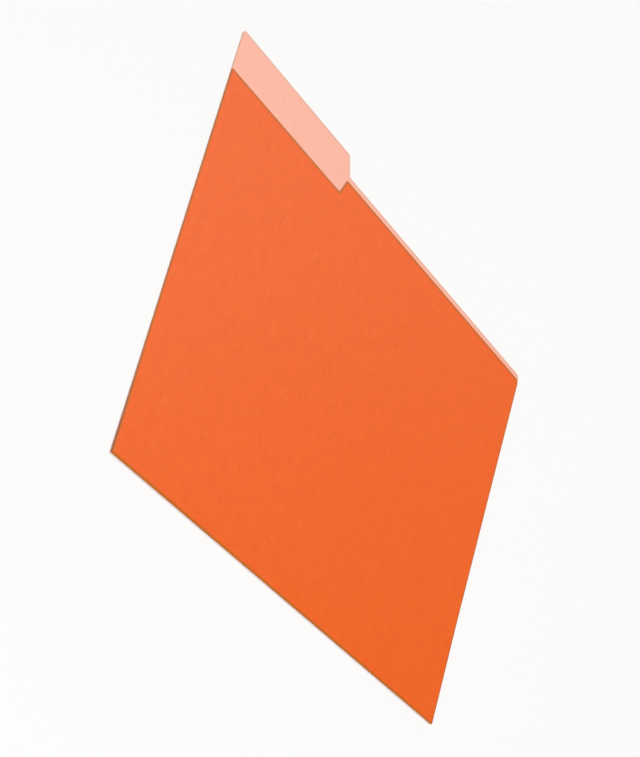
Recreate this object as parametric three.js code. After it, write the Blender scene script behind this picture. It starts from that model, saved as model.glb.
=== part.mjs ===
// A two-tone file folder of legal size, closed and lying on its back panel.
//
// The real folder is one die-cut sheet of card in two plies, dark outside and light inside. Creases
// divide it into flat areas that turn against each other, and each area is made here as two solids,
// one for each ply. From the tab down and round to the front they are the tab and the back panel, the
// narrow ridge at the folded edge, the expansion strips between the scores, and the front panel.
//
// Units are millimetres. +X runs along the fold, +Y from the fold to the tab and +Z up through the
// closed folder. The origin is at the middle of the underside.

import * as THREE from 'three';

// The sheet
const WIDTH = 374.65; // along the fold, 14 3/4 in
const OUTER_PLY = 0.14; // half of 11 point card
const INNER_PLY = 0.14;

// Heights, from the folded edge
const FRONT_HEIGHT = 228.6; // 9 in
const BACK_REVEAL = 3.2; // how far the back panel stands above the front one
const TAB_RISE = 10.7; // how far the tab stands above the back panel

// The tab, cut to a third of the width and flush with the left edge
const TAB_LENGTH = 125.5; // along its top edge
const TAB_LEAN = 6.4; // how much longer it is at its foot

// The undercut, where the front panel is cut low so that more of the tab shows
const UNDERCUT_DEPTH = 9.6;
const UNDERCUT_SETBACK = 2.1; // its end stands this far short of the tab's foot
const UNDERCUT_LEAN = 4.2; // how much shorter it is at its bottom

// The creases
const SCORE_COUNT = 3; // scores beside the fold, for a thicker stack of paper
const SCORE_PITCH = 6.35; // 1/4 in
const CREASE_GAP = 0.3; // left between two areas that turn against each other
const PANEL_GAP = 0.64; // between the closed panels, left by the fold

// Corners
const PANEL_CORNER_RADIUS = 3;
const TAB_CORNER_RADIUS = 3;
const UNDERCUT_CORNER_RADIUS = 1.5;
const ARC_STEPS = 4;

// Finish
const OUTER_COLOUR = '#f2703b'; // strong orange
const INNER_COLOUR = '#fcbba5'; // the light tint of the same dye
const CARD_ROUGHNESS = 0.85;

// Worked out from the sizes above
const CARD = OUTER_PLY + INNER_PLY;
const BACK_HEIGHT = FRONT_HEIGHT + BACK_REVEAL;
const OVERALL_HEIGHT = BACK_HEIGHT + TAB_RISE;
const TAB_FOOT = TAB_LENGTH + TAB_LEAN;
const HALF_GAP = CREASE_GAP / 2;
const FRONT_Z = CARD + PANEL_GAP; // underside of the closed front panel

// A crease turns about the line where the middles of the two areas beside it meet
const FOLD_AXIS_Y = CARD / 2;
const FOLD_SIDE = CARD + HALF_GAP; // where the areas beside the ridge begin

/** The place of a score, counted from the fold, as a distance from the folded edge. */
function scoreY(count) {
  return FOLD_AXIS_Y + count * SCORE_PITCH;
}

/**
 * A closed outline with straight sides. Each corner is [x, y, radius], anticlockwise, and a radius of
 * zero leaves the corner sharp.
 */
function roundedOutline(corners) {
  const shape = new THREE.Shape();
  corners.forEach(([x, y, radius], index) => {
    const corner = new THREE.Vector2(x, y);
    const before = corners.at(index - 1);
    const after = corners[(index + 1) % corners.length];
    const toBefore = new THREE.Vector2(before[0], before[1]).sub(corner).normalize();
    const toAfter = new THREE.Vector2(after[0], after[1]).sub(corner).normalize();
    if (radius === 0) {
      if (index === 0) shape.moveTo(x, y);
      else shape.lineTo(x, y);
      return;
    }
    const halfAngle = Math.acos(toBefore.dot(toAfter)) / 2;
    const tangent = radius / Math.tan(halfAngle);
    const start = corner.clone().addScaledVector(toBefore, tangent);
    const end = corner.clone().addScaledVector(toAfter, tangent);
    const bisector = toBefore.clone().add(toAfter).normalize();
    const centre = corner.clone().addScaledVector(bisector, radius / Math.sin(halfAngle));
    const hollow = toBefore.cross(toAfter) > 0;
    const startAngle = start.sub(centre).angle();
    const endAngle = end.sub(centre).angle();
    shape.absarc(centre.x, centre.y, radius, startAngle, endAngle, hollow);
  });
  shape.closePath();
  return shape;
}

/** A plain rectangle across the whole width, between two distances from the folded edge. */
function fullWidthStrip(fromY, toY) {
  return roundedOutline([
    [0, fromY, 0],
    [WIDTH, fromY, 0],
    [WIDTH, toY, 0],
    [0, toY, 0],
  ]);
}

/** The back panel, a rectangle with one free corner at the end away from the tab. */
function backPanelOutline() {
  return roundedOutline([
    [0, FOLD_SIDE, 0],
    [WIDTH, FOLD_SIDE, 0],
    [WIDTH, BACK_HEIGHT, PANEL_CORNER_RADIUS],
    [0, BACK_HEIGHT, 0],
  ]);
}

/** The tab, with a square end at the left edge and a leaning end towards the middle. */
function tabOutline() {
  return roundedOutline([
    [0, BACK_HEIGHT, 0],
    [TAB_FOOT, BACK_HEIGHT, 0],
    [TAB_LENGTH, OVERALL_HEIGHT, TAB_CORNER_RADIUS],
    [0, OVERALL_HEIGHT, TAB_CORNER_RADIUS],
  ]);
}

/** The front panel, from the last score up, with its top edge cut low in front of the tab. */
function frontPanelOutline() {
  const undercutTop = TAB_FOOT - UNDERCUT_SETBACK;
  const undercutBottom = undercutTop - UNDERCUT_LEAN;
  const undercutY = FRONT_HEIGHT - UNDERCUT_DEPTH;
  const firstY = scoreY(SCORE_COUNT) + HALF_GAP;
  return roundedOutline([
    [0, firstY, 0],
    [WIDTH, firstY, 0],
    [WIDTH, FRONT_HEIGHT, PANEL_CORNER_RADIUS],
    [undercutTop, FRONT_HEIGHT, UNDERCUT_CORNER_RADIUS],
    [undercutBottom, undercutY, UNDERCUT_CORNER_RADIUS],
    [0, undercutY, UNDERCUT_CORNER_RADIUS],
  ]);
}

/** The card's matt surface in one colour. */
function cardMaterial(colour) {
  return new THREE.MeshStandardMaterial({
    color: new THREE.Color(colour),
    roughness: CARD_ROUGHNESS,
    metalness: 0,
  });
}

/** One ply of a flat area: its outline, thick as the ply, with its underside at the given height. */
function plyMesh(name, outline, thickness, z, colour) {
  const geometry = new THREE.ExtrudeGeometry(outline, {
    depth: thickness,
    bevelEnabled: false,
    curveSegments: ARC_STEPS,
  });
  const mesh = new THREE.Mesh(geometry, cardMaterial(colour));
  mesh.name = name;
  mesh.position.z = z;
  return mesh;
}

/** Both plies of an area of the back, which lies with its outside down. */
function backArea(name, outline) {
  return [
    plyMesh(`${name}_outer_ply`, outline, OUTER_PLY, 0, OUTER_COLOUR),
    plyMesh(`${name}_inner_ply`, outline, INNER_PLY, OUTER_PLY, INNER_COLOUR),
  ];
}

/** Both plies of an area of the front, which lies with its outside up. */
function frontArea(name, outline) {
  return [
    plyMesh(`${name}_inner_ply`, outline, INNER_PLY, FRONT_Z, INNER_COLOUR),
    plyMesh(`${name}_outer_ply`, outline, OUTER_PLY, FRONT_Z + INNER_PLY, OUTER_COLOUR),
  ];
}

/** The ridge at the folded edge, a narrow wall of card that stands between the closed panels. */
function foldRidge() {
  const foot = CARD + HALF_GAP;
  const rise = PANEL_GAP - CREASE_GAP;
  const outer = fullWidthStrip(0, OUTER_PLY);
  const inner = fullWidthStrip(OUTER_PLY, CARD);
  return [
    plyMesh('fold_ridge_outer_ply', outer, rise, foot, OUTER_COLOUR),
    plyMesh('fold_ridge_inner_ply', inner, rise, foot, INNER_COLOUR),
  ];
}

/** The strips between the fold and the last score, numbered from the fold. */
function expansionStrips() {
  const strips = [];
  for (let number = 1; number <= SCORE_COUNT; number += 1) {
    const fromY = number === 1 ? FOLD_SIDE : scoreY(number - 1) + HALF_GAP;
    const outline = fullWidthStrip(fromY, scoreY(number) - HALF_GAP);
    strips.push(...frontArea(`expansion_strip_${number}`, outline));
  }
  return strips;
}

const folder = new THREE.Group();
folder.name = 'file_folder';
folder.add(
  ...backArea('tab', tabOutline()),
  ...backArea('back_panel', backPanelOutline()),
  ...foldRidge(),
  ...expansionStrips(),
  ...frontArea('front_panel', frontPanelOutline()),
);
folder.position.set(-WIDTH / 2, -OVERALL_HEIGHT / 2, 0);

export default folder;
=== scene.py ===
"""The real folder is one die-cut sheet of duplex card, so it is modelled as one. The sheet is first laid
out flat, with its rounded corners, its tab and its undercut, and then led round the fold. Each of its
two plies is a closed solid. The plies are cut across in the flat middle of the strips between the
creases, so that every crease lies inside a piece.
"""

import logging
import math
from collections.abc import Iterator
from dataclasses import dataclass, field
from enum import Enum

import bmesh
import bpy
from mathutils import Matrix, Vector


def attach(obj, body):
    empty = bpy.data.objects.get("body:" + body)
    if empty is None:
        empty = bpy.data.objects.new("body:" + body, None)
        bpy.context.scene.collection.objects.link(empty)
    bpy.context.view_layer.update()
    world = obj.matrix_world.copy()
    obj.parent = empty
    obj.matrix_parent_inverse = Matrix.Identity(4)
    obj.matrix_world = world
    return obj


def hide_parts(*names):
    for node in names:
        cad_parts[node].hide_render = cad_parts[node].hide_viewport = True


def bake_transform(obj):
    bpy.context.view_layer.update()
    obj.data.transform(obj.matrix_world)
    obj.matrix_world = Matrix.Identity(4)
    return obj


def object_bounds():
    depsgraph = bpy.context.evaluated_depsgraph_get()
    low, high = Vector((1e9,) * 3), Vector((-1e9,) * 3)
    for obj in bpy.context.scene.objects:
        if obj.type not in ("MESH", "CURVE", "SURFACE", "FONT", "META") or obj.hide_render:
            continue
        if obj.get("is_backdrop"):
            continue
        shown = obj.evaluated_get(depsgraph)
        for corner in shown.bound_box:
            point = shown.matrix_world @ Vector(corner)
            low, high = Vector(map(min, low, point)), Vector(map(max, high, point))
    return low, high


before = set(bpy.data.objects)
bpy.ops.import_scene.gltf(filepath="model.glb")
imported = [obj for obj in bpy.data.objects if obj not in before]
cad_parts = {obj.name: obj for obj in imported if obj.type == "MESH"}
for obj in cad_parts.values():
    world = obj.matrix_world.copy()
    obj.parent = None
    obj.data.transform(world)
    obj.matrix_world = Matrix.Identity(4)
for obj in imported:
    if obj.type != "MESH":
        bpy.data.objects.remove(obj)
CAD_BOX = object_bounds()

LOG = logging.getLogger("file_folder")
MM = 0.001  # metres in a millimetre
PLACE = "sheet_place"  # point attribute: the place on the flat sheet, in metres
PRESSED_AND_SHADED = "pressed_and_shaded"  # point attribute, from 0 to 1: the share of the darker colour, for card that the die or a crease compressed and for painted shade along the cuts and the fold
TOUCHING = 0.01  # millimetres within which a point counts as on a line
BEYOND = 1.0  # millimetres past the end of the sheet, so that a stretch takes in its last faces
MIX_SHARE, MIX_UNDER, MIX_OVER, MIXED = 0, 6, 7, 2  # a colour Mix node's sockets, which share names


class Ply(Enum):
    """The two plies of the card. The value is the side of the sheet's middle on which it lies."""

    OUTER = 1
    INNER = -1

    @property
    def slot(self) -> str:
        """The record's material slot of this ply."""
        return f"{self.name.lower()}_card"


def linear(hex_colour: str) -> tuple[float, float, float, float]:
    """Turns an sRGB colour into the linear one that a shader socket takes.

    Args:
        hex_colour: The colour as "#rrggbb".

    Returns:
        Red, green, blue and an alpha of 1.
    """
    parts = [int(hex_colour[i : i + 2], 16) / 255 for i in (1, 3, 5)]
    red, green, blue = (c / 12.92 if c <= 0.04045 else ((c + 0.055) / 1.055) ** 2.4 for c in parts)
    return red, green, blue, 1.0


def add_node(
    tree: bpy.types.NodeTree, kind: str, inputs: dict[str | int, object], **settings: object
) -> bpy.types.Node:
    """Adds a node with its settings, values and links.

    Args:
        tree: The node tree that gets the node.
        kind: The node's type, such as "ShaderNodeMath".
        inputs: By input name or number, a value to set or an output socket to link.
        settings: The node's own properties, such as operation="ADD".

    Returns:
        The new node.
    """
    node = tree.nodes.new(kind)
    for name, value in settings.items():
        setattr(node, name, value)
    for key, value in inputs.items():
        if isinstance(value, bpy.types.NodeSocket):
            tree.links.new(value, node.inputs[key])
        else:
            node.inputs[key].default_value = value
    return node


def map_range(
    tree: bpy.types.NodeTree,
    value: bpy.types.NodeSocket,
    source: tuple[float, float],
    target: tuple[float, float] = (0.0, 1.0),
    interpolation: str = "LINEAR",
) -> bpy.types.NodeSocket:
    """Turns a value that runs over one range into one that runs over another.

    Args:
        tree: The node tree that gets the node.
        value: The value to turn.
        source: Where its own range begins and ends.
        target: What comes out at either end, and beyond it.
        interpolation: How it runs between them, "LINEAR" or "SMOOTHSTEP".

    Returns:
        The value in its new range.
    """
    names = ("From Min", "From Max", "To Min", "To Max")
    inputs = {"Value": value, **dict(zip(names, (*source, *target)))}
    return add_node(tree, "ShaderNodeMapRange", inputs, interpolation_type=interpolation).outputs[0]


def seen_directly(tree: bpy.types.NodeTree) -> bpy.types.NodeSocket:
    """Tells the rays that show a surface from those that carry its light.

    Args:
        tree: The node tree that gets the nodes.

    Returns:
        A socket that is 1 for camera, glossy and transmission rays, and 0 for all others.
    """
    ray = add_node(tree, "ShaderNodeLightPath", {}).outputs
    glossy = {0: ray["Is Camera Ray"], 1: ray["Is Glossy Ray"]}
    either = add_node(tree, "ShaderNodeMath", glossy, operation="MAXIMUM").outputs[0]
    every = {0: either, 1: ray["Is Transmission Ray"]}
    return add_node(tree, "ShaderNodeMath", every, operation="MAXIMUM").outputs[0]


@dataclass(frozen=True)
class Layer:
    """A colour that comes in over another between two values of a pattern that runs from 0 to 1."""

    colour: str
    begins: float
    full: float
    strength: float = 1.0  # how much of it shows where it is full


@dataclass(frozen=True)
class DuplexCard:
    """Uncoated paperboard, dyed in the pulp, pressed smooth between steel rolls and die-cut.

    The rolls leave it matt with a soft sheen at a low angle, and an even colour in which a few fibres
    show as short flecks. They lie mostly along the run of the paper machine, from the fold to the tab.
    The sheet's cloudy look comes from the way the fibres settled. Along the cuts, the fold and the scores
    the
    colour is darker: partly denser card where the die, a rule or the fold compressed it, and partly painted
    shade. Sizes are in millimetres.
    """

    name: str
    body_colour: str  # the dyed pulp
    cloud: Layer  # where the fibres lie thinner
    pale_fleck: Layer  # a fibre that took less dye
    dark_fleck: Layer  # a fibre that took more
    pressed_and_shaded: Layer  # darker beside a cut and along a crease: compressed card and painted shade
    ior: float = 1.47  # cellulose
    specular_level: float = 0.27  # a porous face mirrors less than a solid one
    sheen_roughness: float = 0.38  # pressed smooth
    dull_roughness: float = 0.44  # in the clouds
    cloud_size: float = 9.0
    cloud_detail: float = 3.0  # finer clouds inside them, as octaves of the noise
    # Real fibres are 0.03 wide and 3 long, which is too fine to show. The flecks are as coarse as it
    # takes, and the part of them that shows is half as large as this.
    fleck_width: float = 1.4
    fleck_length: float = 6.0
    fleck_lean: float = 30.0  # degrees, from straight up the sheet towards the tab's end
    grain_detail: float = 1.0  # octaves of the noise
    grain_roughness: float = 0.55  # strength of each octave beside the one before
    relief_width: float = 0.4  # the felt's mark, as coarse as it needs to show
    relief_length: float = 0.9
    relief_depth: float = 0.006

    def _fibres(
        self, tree: bpy.types.NodeTree, width: float, length: float, lean: float = 0.0
    ) -> bpy.types.NodeSocket:
        """Makes noise that is drawn out along the machine's run.

        Args:
            tree: The node tree that gets the nodes.
            width: The grain's width in millimetres.
            length: The grain's length in millimetres.
            lean: Degrees by which the grain leans towards the tab's end.

        Returns:
            The noise, about 0.5 on average.
        """
        place = add_node(tree, "ShaderNodeAttribute", {}, attribute_name=PLACE).outputs["Vector"]
        squeeze = tuple(1 / (side * MM) for side in (width, length, width))
        turned = {"Vector": place, "Rotation": (0.0, 0.0, -math.radians(lean)), "Scale": squeeze}
        drawn_out = add_node(tree, "ShaderNodeMapping", turned, vector_type="POINT").outputs[0]
        octaves = {"Detail": self.grain_detail, "Roughness": self.grain_roughness}
        inputs = {"Vector": drawn_out, "Scale": 1.0, **octaves}
        return add_node(tree, "ShaderNodeTexNoise", inputs).outputs[0]

    def _colour(
        self, tree: bpy.types.NodeTree, clouds: bpy.types.NodeSocket, flecks: bpy.types.NodeSocket
    ) -> bpy.types.NodeSocket:
        """Lays the card's colours over each other.

        Args:
            tree: The node tree that gets the nodes.
            clouds: The pattern of the clouds.
            flecks: The pattern of the flecks.

        Returns:
            The colour of the face.
        """
        # how much of the darker colour a point gets: compressed card, and painted shade along the cuts and
        # the fold
        share = add_node(tree, "ShaderNodeAttribute", {}, attribute_name=PRESSED_AND_SHADED).outputs["Fac"]
        patterns = (clouds, flecks, flecks, share)
        layers = (self.cloud, self.pale_fleck, self.dark_fleck, self.pressed_and_shaded)
        colour = linear(self.body_colour)
        for pattern, layer in zip(patterns, layers):
            shown = map_range(tree, pattern, (layer.begins, layer.full), (0.0, layer.strength))
            inputs = {MIX_SHARE: shown, MIX_UNDER: colour, MIX_OVER: linear(layer.colour)}
            colour = add_node(tree, "ShaderNodeMix", inputs, data_type="RGBA").outputs[MIXED]
        return colour

    def material(self) -> bpy.types.Material:
        """Builds the finish as a procedural material that follows the sheet round its folds.

        Returns:
            The new material.
        """
        made = bpy.data.materials.new(self.name)
        made.use_nodes = True
        tree = made.node_tree
        surface = tree.nodes["Principled BSDF"]
        place = add_node(tree, "ShaderNodeAttribute", {}, attribute_name=PLACE).outputs["Vector"]
        cloud_scale = 1 / (self.cloud_size * MM)
        cloud_inputs = {"Vector": place, "Scale": cloud_scale, "Detail": self.cloud_detail}
        clouds = add_node(tree, "ShaderNodeTexNoise", cloud_inputs).outputs[0]
        flecks = self._fibres(tree, self.fleck_width, self.fleck_length, self.fleck_lean)
        cloudy = (self.cloud.begins, self.cloud.full)
        roughness = map_range(tree, clouds, cloudy, (self.sheen_roughness, self.dull_roughness))
        relief = self._fibres(tree, self.relief_width, self.relief_length)
        bump_inputs = {"Height": relief, "Distance": self.relief_depth * MM, "Strength": 1.0}
        bump = add_node(tree, "ShaderNodeBump", bump_inputs).outputs[0]

        surface.inputs["IOR"].default_value = self.ior
        surface.inputs["Specular IOR Level"].default_value = self.specular_level
        tree.links.new(self._colour(tree, clouds, flecks), surface.inputs["Base Color"])
        tree.links.new(roughness, surface.inputs["Roughness"])
        tree.links.new(bump, surface.inputs["Normal"])
        return made


@dataclass(frozen=True)
class SweepPaper:
    """A studio's seamless roll of white paper, matt and without a mark.

    It reads as plain white and still takes the folder's shadow. The lift is added only where the paper
    is seen, so it puts no more light on the folder. Well away from the folder the paper turns into the
    evenly white backdrop.
    """

    name: str = "white_sweep_paper"
    colour: str = "#f2f3f4"
    lift_colour: str = "#fffefe"
    lift: float = 0.085
    tooth: float = 2.0  # millimetres from one soft rise of the paper's face to the next
    tooth_depth: float = 0.01  # millimetres
    tooth_detail: float = 1.0  # octaves of the noise
    fade_start: float = 1.0  # metres from the folder's middle to where the backdrop begins to come in
    fade_end: float = 2.6

    def material(self) -> bpy.types.Material:
        """Builds the paper as a matt material with a faint tooth.

        Returns:
            The new material.
        """
        made = bpy.data.materials.new(self.name)
        made.use_nodes = True
        tree = made.node_tree
        tree.nodes.clear()
        place = add_node(tree, "ShaderNodeTexCoord", {}).outputs["Object"]
        grain_inputs = {"Vector": place, "Scale": 1 / (self.tooth * MM), "Detail": self.tooth_detail}
        grain = add_node(tree, "ShaderNodeTexNoise", grain_inputs).outputs[0]
        bump_inputs = {"Height": grain, "Distance": self.tooth_depth * MM}
        bump = add_node(tree, "ShaderNodeBump", bump_inputs).outputs[0]
        matt_inputs = {"Color": linear(self.colour), "Normal": bump}
        matt = add_node(tree, "ShaderNodeBsdfDiffuse", matt_inputs).outputs[0]
        lift_share = {0: seen_directly(tree), 1: self.lift}
        strength = add_node(tree, "ShaderNodeMath", lift_share, operation="MULTIPLY").outputs[0]
        lift_inputs = {"Color": linear(self.lift_colour), "Strength": strength}
        lift = add_node(tree, "ShaderNodeEmission", lift_inputs).outputs[0]
        both = add_node(tree, "ShaderNodeAddShader", {0: matt, 1: lift}).outputs[0]
        away = add_node(tree, "ShaderNodeVectorMath", {0: place}, operation="LENGTH").outputs["Value"]
        far = map_range(tree, away, (self.fade_start, self.fade_end), interpolation="SMOOTHSTEP")
        white_inputs = {"Color": linear(self.lift_colour), "Strength": 1.0}
        white = add_node(tree, "ShaderNodeEmission", white_inputs).outputs[0]
        sweep = add_node(tree, "ShaderNodeMixShader", {0: far, 1: both, 2: white}).outputs[0]
        add_node(tree, "ShaderNodeOutputMaterial", {"Surface": sweep})
        return made


ORANGE_PLY = DuplexCard(
    name="orange_dyed_card",
    body_colour="#f15e00",
    cloud=Layer("#f56303", begins=0.3, full=0.7),
    pale_fleck=Layer("#fb8038", begins=0.67, full=0.85),
    dark_fleck=Layer("#d84d03", begins=0.33, full=0.15),
    # darker along the cuts, the fold and the scores: compressed card and painted shade
    pressed_and_shaded=Layer("#c5660a", begins=0.0, full=1.0),
)
TINTED_PLY = DuplexCard(
    name="pale_tinted_card",
    body_colour="#fcb59f",
    cloud=Layer("#fdb8a3", begins=0.3, full=0.7),
    pale_fleck=Layer("#fec6b6", begins=0.67, full=0.85),
    dark_fleck=Layer("#f2a690", begins=0.33, full=0.15),
    # darker along the cuts, the fold and the scores: compressed card and painted shade
    pressed_and_shaded=Layer("#ecb199", begins=0.0, full=1.0),
)


@dataclass(frozen=True)
class CardSheet:
    """The one sheet that the folder is made of, laid flat and folded. Sizes are in millimetres.

    A place on the sheet is (x, s). x runs along the fold, from the tab's end. s runs across it from the
    crown of the fold, up the front panel where it is positive and up the back panel where it is
    negative. Heights are measured from the folded edge.
    """

    width: float = 374.65  # 14 3/4 in
    ply: float = 0.14  # half of 11 point card
    panel_gap: float = 0.64  # left between the closed panels by the fold
    front_height: float = 228.6  # 9 in
    back_reveal: float = 3.2  # how far the back panel stands above the front one
    tab_rise: float = 10.7  # how far the tab stands above the back panel
    tab_length: float = 125.5  # along its top edge
    tab_lean: float = 6.4  # how much longer it is at its foot
    undercut_depth: float = 9.6
    undercut_setback: float = 2.1  # its end stands this far short of the tab's foot
    undercut_lean: float = 4.2  # how much shorter it is at its bottom
    panel_corner: float = 3.0
    tab_corner: float = 3.0
    tab_foot_corner: float = 0.8
    undercut_corner: float = 1.5
    first_score: float = 6.49  # height of the first score
    score_pitch: float = 6.35  # 1/4 in
    score_count: int = 3
    score_width: float = 1.2
    score_depth: float = 0.01  # pressed in from outside
    score_share: float = 0.1  # how far a score presses the card, where a cut does so by 1; the darker colour there is compressed card and painted shade
    rolled_width: float = 0.05  # the die rolls the face over at a cut
    rolled_depth: float = 0.04
    dense_and_shaded_width: float = 0.5  # the die's rubber presses the card flat this far in, and the darker colour, compressed card and painted shade, is full there
    fading_width: float = 1.2  # and less and less over this width
    crease_width: float = 1.2  # compressed, and darkened with painted shade, beside the round of the fold
    resting_height: float = 0.47  # middle of the front panel where it lies on the back one
    landing: float = 75.0  # distance from the round of the fold at which it gets there
    waviness: float = 0.03  # of the front panel, where the card isn't quite flat
    long_wave: float = 310.0  # along the fold
    long_wave_rise: float = 420.0  # and up the panel
    long_wave_start: float = 0.7  # radians
    long_wave_share: float = 0.7  # of the waviness
    short_wave: float = 170.0
    short_wave_slant: float = 0.6  # run along the fold for each 1 up the panel
    short_wave_start: float = 2.1  # radians
    short_wave_share: float = 0.3
    cell: float = 12.0  # largest spacing of the mesh
    arc_steps: int = 6  # sides of a rounded corner
    fold_steps: int = 6  # rows of the mesh in a quarter turn of the fold
    score_steps: int = 8  # rows in a score's width
    score_rows: int = 6  # rows on either side of a score's middle
    crease_shares: tuple[float, ...] = (0.3, 0.6, 1.0)  # rows beside the fold, in widths of the crease

    @property
    def radius(self) -> float:
        """Radius of the fold, at the middle of the card."""
        return self.ply + self.panel_gap / 2

    @property
    def quarter(self) -> float:
        """Length of card in a quarter turn of the fold."""
        return self.radius * math.pi / 2

    @property
    def fold_centre(self) -> float:
        """Distance of the fold's centre from the folded edge, and its height above the floor."""
        return self.ply + self.radius

    @property
    def borders(self) -> tuple[float, ...]:
        """Distances from the die's line of the lines that bound what the die did to the card, and the darker
        band of painted shade beside the cut.
        """
        dense = self.rolled_width + self.dense_and_shaded_width
        return 0.0, self.rolled_width, dense, dense + self.fading_width

    @property
    def origin(self) -> tuple[float, float]:
        """Where the tab's end and the folded edge are in the row frame."""
        return CAD_BOX[0].x / MM, CAD_BOX[0].y / MM

    def across(self, height: float) -> float:
        """The distance s over the sheet of a height on either panel."""
        return height - self.fold_centre + self.quarter

    def score(self, number: int) -> float:
        """The distance s of a score, counted from 1 at the fold."""
        return self.across(self.first_score + (number - 1) * self.score_pitch)

    def to_score(self, s: float) -> float:
        """The distance over the sheet from s to the middle of the nearest score."""
        return min(abs(s - self.score(number)) for number in range(1, self.score_count + 1))

    def mid_strip(self, number: int) -> float:
        """The distance s of the flat middle of the strip before a score, counted from 1."""
        return self.score(number) - self.score_pitch / 2

    def corners(self) -> list[tuple[float, float, float]]:
        """Lists the corners of the flat sheet.

        Returns:
            x, s and radius of each corner, anticlockwise from the tab's end.
        """
        front_top = self.across(self.front_height)
        undercut = self.across(self.front_height - self.undercut_depth)
        back_top = -self.across(self.front_height + self.back_reveal)
        tab_top = back_top - self.tab_rise
        tab_foot = self.tab_length + self.tab_lean
        undercut_top = tab_foot - self.undercut_setback
        undercut_bottom = undercut_top - self.undercut_lean
        return [
            (0.0, tab_top, self.tab_corner),
            (self.tab_length, tab_top, self.tab_corner),
            (tab_foot, back_top, self.tab_foot_corner),
            (self.width, back_top, self.panel_corner),
            (self.width, front_top, self.panel_corner),
            (undercut_top, front_top, self.undercut_corner),
            (undercut_bottom, undercut, self.undercut_corner),
            (0.0, undercut, self.undercut_corner),
        ]

    def outline(self, inset: float = 0.0) -> list[Vector]:
        """Rounds the corners of the flat sheet.

        Args:
            inset: Distance from the die's line towards the middle of the sheet.

        Returns:
            The points of the line, anticlockwise. A corner that the inset takes up has them all in one.
        """
        corners = self.corners()
        points = []
        for index, (x, s, radius) in enumerate(corners):
            corner = Vector((x, s))
            after = corners[(index + 1) % len(corners)]
            to_before = (Vector(corners[index - 1][:2]) - corner).normalized()
            to_after = (Vector(after[:2]) - corner).normalized()
            half_angle = to_before.angle(to_after) / 2
            bisector = (to_before + to_after).normalized() / math.sin(half_angle)
            shift = inset if to_before.cross(to_after) < 0 else -inset  # the other way at a hollow corner
            bend = max(radius - shift, 0.0)
            moved = corner + bisector * shift
            centre = moved + bisector * bend
            start = moved + to_before * bend / math.tan(half_angle) - centre
            end = moved + to_after * bend / math.tan(half_angle) - centre
            turn = start.angle_signed(end, 0.0)
            for step in range(self.arc_steps + 1):
                points.append(centre + Matrix.Rotation(-turn * step / self.arc_steps, 2) @ start)
        return points

    def rows(self) -> list[float]:
        """Lists the lines along the fold at which the mesh is cut, close together at the creases.

        Returns:
            The distances s, from the tab to the front panel's top.
        """
        top = self.across(self.front_height)
        tab_top = self.across(self.front_height + self.back_reveal + self.tab_rise)
        first, last = self.mid_strip(1), self.mid_strip(self.score_count + 1)
        fold_rows = range(-self.fold_steps, self.fold_steps + 1)
        lines = {self.quarter * step / self.fold_steps for step in fold_rows}
        for share in self.crease_shares:
            beside = self.quarter + share * self.crease_width
            lines |= {-beside, beside}
        lines |= {self.mid_strip(number) for number in range(1, self.score_count + 2)} | {-first}
        score_rows = range(-self.score_rows, self.score_rows + 1)
        for number in range(1, self.score_count + 1):
            lines |= {self.score(number) + self.score_width * step / self.score_steps for step in score_rows}
        for start, end in ((last, top), (-first, -tab_top)):
            count = math.ceil(abs(end - start) / self.cell)
            lines |= {start + (end - start) * step / count for step in range(1, count)}
        lines.add(-self.across(self.front_height + self.back_reveal))
        return sorted(lines)

    def plan(self) -> bmesh.types.BMesh:
        """Lays out the flat sheet as one mesh, with narrow borders along the die's line.

        Returns:
            The mesh in millimetres, with x and s as its first two coordinates.
        """
        flat = bmesh.new()
        rings = [[flat.verts.new((*point, 0)) for point in self.outline(inset)] for inset in self.borders]
        for outside, inside in zip(rings, rings[1:]):
            for index, corner in enumerate(outside):
                flat.faces.new((outside[index - 1], corner, inside[index], inside[index - 1]))
        flat.faces.new(rings[-1])
        bmesh.ops.remove_doubles(flat, verts=flat.verts, dist=TOUCHING)
        count = math.ceil(self.width / self.cell)
        cuts = [((0, s, 0), (0, 1, 0)) for s in self.rows()]
        cuts += [((self.width * step / count, 0, 0), (1, 0, 0)) for step in range(1, count)]
        for point, normal in cuts:
            everything = [*flat.verts, *flat.edges, *flat.faces]
            bmesh.ops.bisect_plane(flat, geom=everything, dist=TOUCHING, plane_co=point, plane_no=normal)
        return flat

    def middle(self, x: float, s: float) -> tuple[float, float, float]:
        """Finds where the middle of the card is when the folder is closed.

        Args:
            x: Distance from the tab's end.
            s: Distance over the sheet from the crown of the fold.

        Returns:
            Distance from the folded edge, height above the floor, and the angle of the card's outside
            from straight down, 0 on the back panel and half a turn on the front one.
        """
        turn = min(max(s / self.radius, -math.pi / 2), math.pi / 2)
        flat_run = max(abs(s) - self.quarter, 0.0)
        y = self.fold_centre - self.radius * math.cos(turn) + flat_run
        z = self.fold_centre + self.radius * math.sin(turn)
        if s > self.quarter:
            z -= self._sag(x, flat_run) + self._groove(s)
        return y, z, turn + math.pi / 2

    def _sag(self, x: float, run: float) -> float:
        """Finds how far the front panel has come down towards the back one.

        Args:
            x: Distance from the tab's end.
            run: Distance up the front panel from the round of the fold.

        Returns:
            The drop in millimetres, with the panel's slight waves.
        """
        share = min(run / self.landing, 1.0)
        eased = share * share * (3 - 2 * share)
        drop = self.fold_centre + self.radius - self.resting_height
        long_wave = math.sin(math.tau * x / self.long_wave + self.long_wave_start)
        long_wave *= math.cos(math.tau * run / self.long_wave_rise)
        slanted = x + self.short_wave_slant * run
        short_wave = math.sin(math.tau * slanted / self.short_wave + self.short_wave_start)
        waves = self.long_wave_share * long_wave + self.short_wave_share * short_wave
        return eased * (drop - self.waviness * waves)

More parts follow.
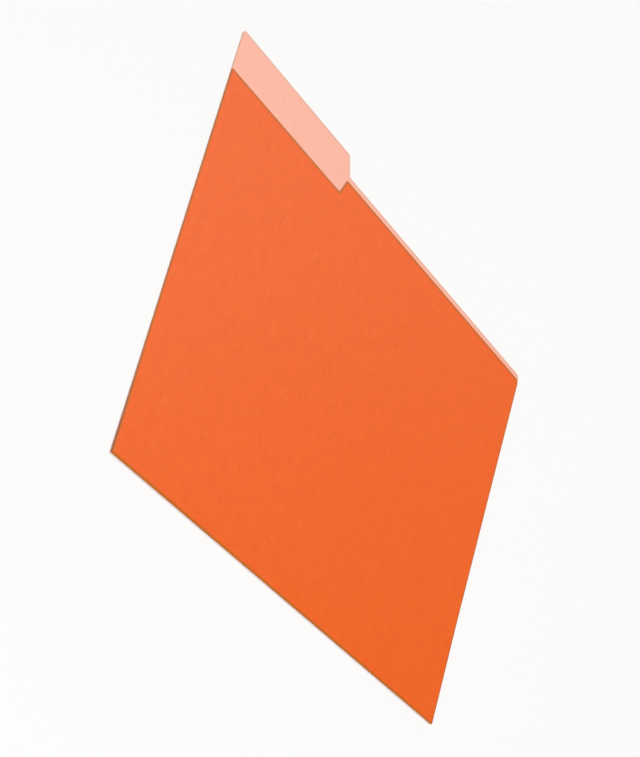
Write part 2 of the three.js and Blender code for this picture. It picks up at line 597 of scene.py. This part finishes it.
    def _groove(self, s: float) -> float:
        """Finds how deep the groove of a score is.

        Args:
            s: Distance over the sheet from the crown of the fold.

        Returns:
            The depth in millimetres, 0 outside the grooves.
        """
        reach = self.score_width / 2
        nearest = min(self.to_score(s), reach)
        return self.score_depth * (1 + math.cos(math.pi * nearest / reach)) / 2

    def folded(self, x: float, s: float, lift: float) -> Vector:
        """Places a point of the sheet in the closed folder.

        Args:
            x: Distance from the tab's end.
            s: Distance over the sheet from the crown of the fold.
            lift: Distance from the middle of the card towards its outside.

        Returns:
            The point in the row frame, in metres.
        """
        left, front = self.origin
        y, z, turn = self.middle(x, s)
        return Vector((left + x, front + y - lift * math.sin(turn), z - lift * math.cos(turn))) * MM

    def pressed_and_shaded(self, s: float, inset: float) -> float:
        """Finds how much of the darker colour a point gets: compressed card, and painted shade along the
        cuts and the fold.

        Args:
            s: Distance over the sheet from the crown of the fold.
            inset: Distance from the nearest cut.

        Returns:
            1 at a cut and on the fold and less in a score, falling to 0 beside them.
        """
        at_cut = (self.borders[-1] - inset) / self.fading_width
        at_score = self.score_share * (1 - self.to_score(s) / (self.score_width / 2))
        at_fold = 1 - (abs(s) - self.quarter) / self.crease_width
        return min(max(at_cut, at_score, at_fold, 0.0), 1.0)


def inset_from(line: list[Vector], point: Vector) -> float:
    """Finds how far a point lies from a closed line.

    Args:
        line: The points of the line.
        point: The point to measure from.

    Returns:
        The distance to the nearest place on the line.
    """
    nearest = math.inf
    for start, end in zip(line, line[1:] + line[:1]):
        run = end - start
        if run.length_squared > 0:
            share = min(max((point - start).dot(run) / run.length_squared, 0.0), 1.0)
            nearest = min(nearest, (start + run * share - point).length)
    return nearest


@dataclass
class FlatSheet:
    """The sheet's flat mesh, with what each of its points needs to know about the cut edge."""

    sheet: CardSheet
    sharp_angle: float = 30.0  # degrees between two faces from which their edge stays sharp
    places: list[tuple[float, float]] = field(default_factory=list)
    insets: list[float] = field(default_factory=list)
    faces: list[tuple[int, ...]] = field(default_factory=list)

    def __post_init__(self) -> None:
        """Lays the sheet out once for all its pieces."""
        flat = self.sheet.plan()
        line = self.sheet.outline()
        flat.verts.index_update()
        for vertex in flat.verts:
            self.places.append((vertex.co.x, vertex.co.y))
            self.insets.append(inset_from(line, vertex.co.xy))
        self.faces = [tuple(vertex.index for vertex in face.verts) for face in flat.faces]
        flat.free()

    def between(self, start: float, end: float) -> list[tuple[int, ...]]:
        """Picks the faces of one stretch of the sheet.

        Args:
            start: Distance s at which the stretch begins.
            end: Distance s at which it ends.

        Returns:
            The faces whose middle lies in the stretch.
        """
        picked = []
        for face in self.faces:
            middle = sum(self.places[index][1] for index in face) / len(face)
            if start < middle < end:
                picked.append(face)
        return picked

    def ply_mesh(self, name: str, ply: Ply, start: float, end: float) -> bpy.types.Mesh:
        """Makes one ply of one stretch as a closed solid, from the glue in the middle to its face.

        Args:
            name: The mesh's name.
            ply: Which of the two plies it is.
            start: Distance s at which the stretch begins.
            end: Distance s at which it ends.

        Returns:
            The mesh, with the place on the sheet and the pressed share as point attributes.
        """
        sheet = self.sheet
        faces = self.between(start, end)
        used = sorted({index for face in faces for index in face})
        number = {index: count for count, index in enumerate(used)}
        points, places, pressed_and_shaded = [], [], []
        for on_face in (True, False):
            for index in used:
                x, s = self.places[index]
                roll = sheet.rolled_depth if self.insets[index] < TOUCHING else 0.0
                lift = ply.value * (sheet.ply - roll) if on_face else 0.0
                points.append(sheet.folded(x, s, lift))
                places.append((x * MM, s * MM, lift * MM))
                pressed_and_shaded.append(sheet.pressed_and_shaded(s, self.insets[index]))
        glue = len(used)
        polygons = [[number[index] for index in face] for face in faces]
        edges = {edge for face in polygons for edge in zip(face, face[1:] + face[:1])}
        walls = [(b, a, a + glue, b + glue) for a, b in sorted(edges) if (b, a) not in edges]
        polygons += [[corner + glue for corner in reversed(face)] for face in polygons] + walls
        mesh = bpy.data.meshes.new(name)
        mesh.from_pydata(points, [], polygons)
        self._finish_mesh(mesh, places, pressed_and_shaded)
        return mesh

    def _finish_mesh(
        self, mesh: bpy.types.Mesh, places: list[tuple[float, float, float]], pressed_and_shaded: list[float]
    ) -> None:
        """Turns the faces outwards, smooths what is meant to be round and stores the attributes.

        Args:
            mesh: The mesh to finish.
            places: The place on the sheet of each point, in metres.
            pressed_and_shaded: The share of the darker colour at each point, for compressed card and painted
                shade.
        """
        solid = bmesh.new()
        solid.from_mesh(mesh)
        bmesh.ops.recalc_face_normals(solid, faces=solid.faces)
        solid.to_mesh(mesh)
        solid.free()
        place = mesh.attributes.new(PLACE, "FLOAT_VECTOR", "POINT")
        place.data.foreach_set("vector", [value for point in places for value in point])
        share = mesh.attributes.new(PRESSED_AND_SHADED, "FLOAT", "POINT")
        share.data.foreach_set("value", pressed_and_shaded)
        mesh.shade_smooth()
        mesh.set_sharp_from_angle(angle=math.radians(self.sharp_angle))


@dataclass
class CardArea:
    """One area of the folder, from one cut across the sheet to the next, as a piece for each ply."""

    flat: FlatSheet
    materials: dict[Ply, bpy.types.Material]

    def pieces(self, name: str, start: float, end: float, nodes: list[str]) -> Iterator[bpy.types.Object]:
        """Builds and dresses both plies of a stretch of the sheet.

        Args:
            name: The area's name.
            start: Distance s at which it begins.
            end: Distance s at which it ends.
            nodes: The areas of the CAD model that it stands for.

        Yields:
            The piece of each ply.
        """
        for ply in Ply:
            full_name = f"{name}_{ply.slot}"
            mesh = self.flat.ply_mesh(full_name, ply, start, end)
            mesh.materials.append(self.materials[ply])
            piece = bpy.data.objects.new(full_name, mesh)
            bpy.context.scene.collection.objects.link(piece)
            ply.slot
            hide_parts(*[f"{node}_{ply.name.lower()}_ply" for node in nodes])
            LOG.info("%s: %d faces", full_name, len(mesh.polygons))
            yield piece


@dataclass
class BackLeaf(CardArea):
    """The back panel and the tab that stands above it."""

    seam: float = field(init=False)
    tab_foot: float = field(init=False)
    end: float = field(init=False)

    def __post_init__(self) -> None:
        """Works out where the leaf begins and ends on the sheet."""
        sheet = self.flat.sheet
        self.seam = -sheet.mid_strip(1)
        self.tab_foot = -sheet.across(sheet.front_height + sheet.back_reveal)
        self.end = self.tab_foot - sheet.tab_rise - BEYOND

    def build(self) -> None:
        """Builds the tab and the panel, which lie still."""
        for piece in self.pieces("tab", self.end, self.tab_foot, ["tab"]):
            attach(piece, "back")
        for piece in self.pieces("back_panel", self.tab_foot, self.seam, ["back_panel"]):
            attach(piece, "back")


@dataclass
class FoldedEdge(CardArea):
    """The round of the fold, in two halves."""

    def build(self) -> None:
        """Builds both halves, each with a flat stretch of the panel beside it."""
        sheet = self.flat.sheet
        seam = sheet.mid_strip(1)
        foot, crown, crest = (sheet.folded(0, share * sheet.quarter, 0) for share in (-1, 0, 1))
        for piece in self.pieces("lower_fold", -seam, 0, ["fold_ridge"]):
            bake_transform(piece)
            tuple(foot)
            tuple(crown)
        for piece in self.pieces("upper_fold", 0, seam, ["fold_ridge", "expansion_strip_1"]):
            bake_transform(piece)
            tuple(crown)
            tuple(crest)


@dataclass
class ExpansionScores(CardArea):
    """The scores along which the bottom widens, each in the middle of a piece of its own."""

    reach: float = 0.5  # millimetres on either side of a score

    def build(self) -> None:
        """Builds a piece for each score, from the middle of one strip to the middle of the next."""
        sheet = self.flat.sheet
        bodies = ["strip_1", "strip_2", "strip_3", "front"]
        for number in range(1, sheet.score_count + 1):
            beside = [count for count in (number, number + 1) if count <= sheet.score_count]
            nodes = [f"expansion_strip_{count}" for count in beside]
            start = sheet.folded(0, sheet.score(number) - self.reach, 0)
            end = sheet.folded(0, sheet.score(number) + self.reach, 0)
            seams = sheet.mid_strip(number), sheet.mid_strip(number + 1)
            for piece in self.pieces(f"score_{number}", *seams, nodes):
                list(bodies[number - 1 : number + 1])
                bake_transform(piece)


@dataclass
class FrontLeaf(CardArea):
    """The front panel above the last score, with its undercut."""

    def build(self) -> None:
        """Builds the panel, which swings with the cover."""
        sheet = self.flat.sheet
        start = sheet.mid_strip(sheet.score_count + 1)
        end = sheet.across(sheet.front_height) + BEYOND
        for piece in self.pieces("front_panel", start, end, ["front_panel"]):
            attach(piece, "front")


@dataclass(frozen=True)
class Lamp:
    """A square soft box that points at the folder. Its bearing is from +X towards +Y, in degrees."""

    name: str
    bearing: float
    elevation: float
    distance: float  # metres
    side: float  # metres
    power: float  # watts
    colour: str

    def build(self) -> None:
        """Hangs the lamp and points it at the origin."""
        light = bpy.data.lights.new(self.name, "AREA")
        light.size = self.side
        light.energy = self.power
        light.color = linear(self.colour)[:3]
        lamp = bpy.data.objects.new(self.name, light)
        bearing, elevation = math.radians(self.bearing), math.radians(self.elevation)
        level = math.cos(elevation)
        out = Vector((math.cos(bearing) * level, math.sin(bearing) * level, math.sin(elevation)))
        lamp.location = out * self.distance
        lamp.rotation_euler = out.to_track_quat("Z", "Y").to_euler()
        bpy.context.scene.collection.objects.link(lamp)


@dataclass(frozen=True)
class Studio:
    """A plain pale floor under soft light."""

    floor_side: float = 24.0  # metres, wide enough to run out of sight at a low angle
    floor_drop: float = 0.02  # millimetres below the card, so that the two don't touch
    room_colour: str = "#fffefd"
    room_strength: float = 0.1
    backdrop_top: float = 6.0  # degrees above the horizon up to which the white backdrop reaches
    backdrop_fade: float = 12.0  # degrees at which the dimmer room takes over
    paper: SweepPaper = SweepPaper()
    lamps: tuple[Lamp, ...] = (
        Lamp(
            name="window_beyond_the_tab",
            bearing=52,
            elevation=55,
            distance=5.0,
            side=3.4,
            power=173,
            colour="#fffdfa",
        ),
        Lamp(
            name="soft_box_by_the_fold",
            bearing=238,
            elevation=45,
            distance=4.0,
            side=2.2,
            power=93,
            colour="#fffefd",
        ),
    )

    def _build_floor(self) -> None:
        """Lays the floor under the folder."""
        half = self.floor_side / 2
        mesh = bpy.data.meshes.new("sweep_floor")
        corners = [(-half, -half, 0), (half, -half, 0), (half, half, 0), (-half, half, 0)]
        mesh.from_pydata(corners, [], [(0, 1, 2, 3)])
        mesh.materials.append(self.paper.material())
        floor = bpy.data.objects.new("sweep_floor", mesh)
        floor.location.z = -self.floor_drop * MM
        bpy.context.scene.collection.objects.link(floor)
        floor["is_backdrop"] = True

    def _build_room(self) -> None:
        """Puts a white backdrop all round at the horizon, and a dimmer room above it."""
        world = bpy.data.worlds.new("soft_room")
        world.use_nodes = True
        tree = world.node_tree
        tree.nodes.clear()
        ray = add_node(tree, "ShaderNodeTexCoord", {}).outputs["Generated"]
        rise = add_node(tree, "ShaderNodeSeparateXYZ", {0: ray}).outputs["Z"]
        top, fade = (math.sin(math.radians(angle)) for angle in (self.backdrop_top, self.backdrop_fade))
        strength = map_range(tree, rise, (top, fade), (1.0, self.room_strength), "SMOOTHSTEP")
        inputs = {"Color": linear(self.room_colour), "Strength": strength}
        room = add_node(tree, "ShaderNodeBackground", inputs).outputs[0]
        add_node(tree, "ShaderNodeOutputWorld", {"Surface": room})
        bpy.context.scene.world = world

    def build(self) -> None:
        """Builds the floor, the soft light all round and the lamps."""
        self._build_floor()
        self._build_room()
        for lamp in self.lamps:
            lamp.build()


@dataclass(frozen=True)
class PhotoCamera:
    """The photograph's view, from beyond the tab's end, turned on its side. Angles are in degrees."""

    target: tuple[float, float] = (-28.7, -0.8)  # millimetres, where the middle of the view meets z = 0
    distance: float = 1417.8  # millimetres from there
    heading: float = 64.09  # of the view, from +Y towards +X
    descent: float = 30.78  # of the view, below the horizon
    roll: float = 92.02  # of the picture's right side, up from level
    lens: float = 123.43  # millimetres
    sensor: float = 36.0  # millimetres, on the picture's long side

    def build(self) -> None:
        """Sets up the camera and makes it the scene's."""
        angles = (self.heading, self.descent, self.roll)
        heading, descent, roll = (math.radians(angle) for angle in angles)
        level = math.cos(descent)
        ahead = Vector((math.sin(heading) * level, math.cos(heading) * level, -math.sin(descent)))
        level_right = ahead.cross(Vector((0, 0, 1))).normalized()
        level_up = level_right.cross(ahead)
        right = level_right * math.cos(roll) + level_up * math.sin(roll)
        up = level_up * math.cos(roll) - level_right * math.sin(roll)
        lens = bpy.data.cameras.new("photo_camera")
        lens.lens = self.lens
        lens.sensor_width = self.sensor
        camera = bpy.data.objects.new("photo_camera", lens)
        place = (Vector((*self.target, 0)) - ahead * self.distance) * MM
        camera.matrix_world = Matrix.Translation(place) @ Matrix((right, up, -ahead)).transposed().to_4x4()
        bpy.context.scene.collection.objects.link(camera)
        bpy.context.scene.camera = camera


def main() -> None:
    """Builds the folder, the studio and the camera."""
    logging.basicConfig(level=logging.INFO, format="%(message)s")
    bpy.context.scene.view_settings.view_transform = "Standard"
    flat = FlatSheet(CardSheet())
    materials = {Ply.OUTER: ORANGE_PLY.material(), Ply.INNER: TINTED_PLY.material()}
    for area in (BackLeaf, FoldedEdge, ExpansionScores, FrontLeaf):
        area(flat, materials).build()
        LOG.info("%s is built", area.__name__)
    Studio().build()
    PhotoCamera().build()
    both = {"cad": CAD_BOX, "visual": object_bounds()}
    boxes = {name: [list(corner) for corner in box] for name, box in both.items()}


if __name__ == "__main__":
    main()
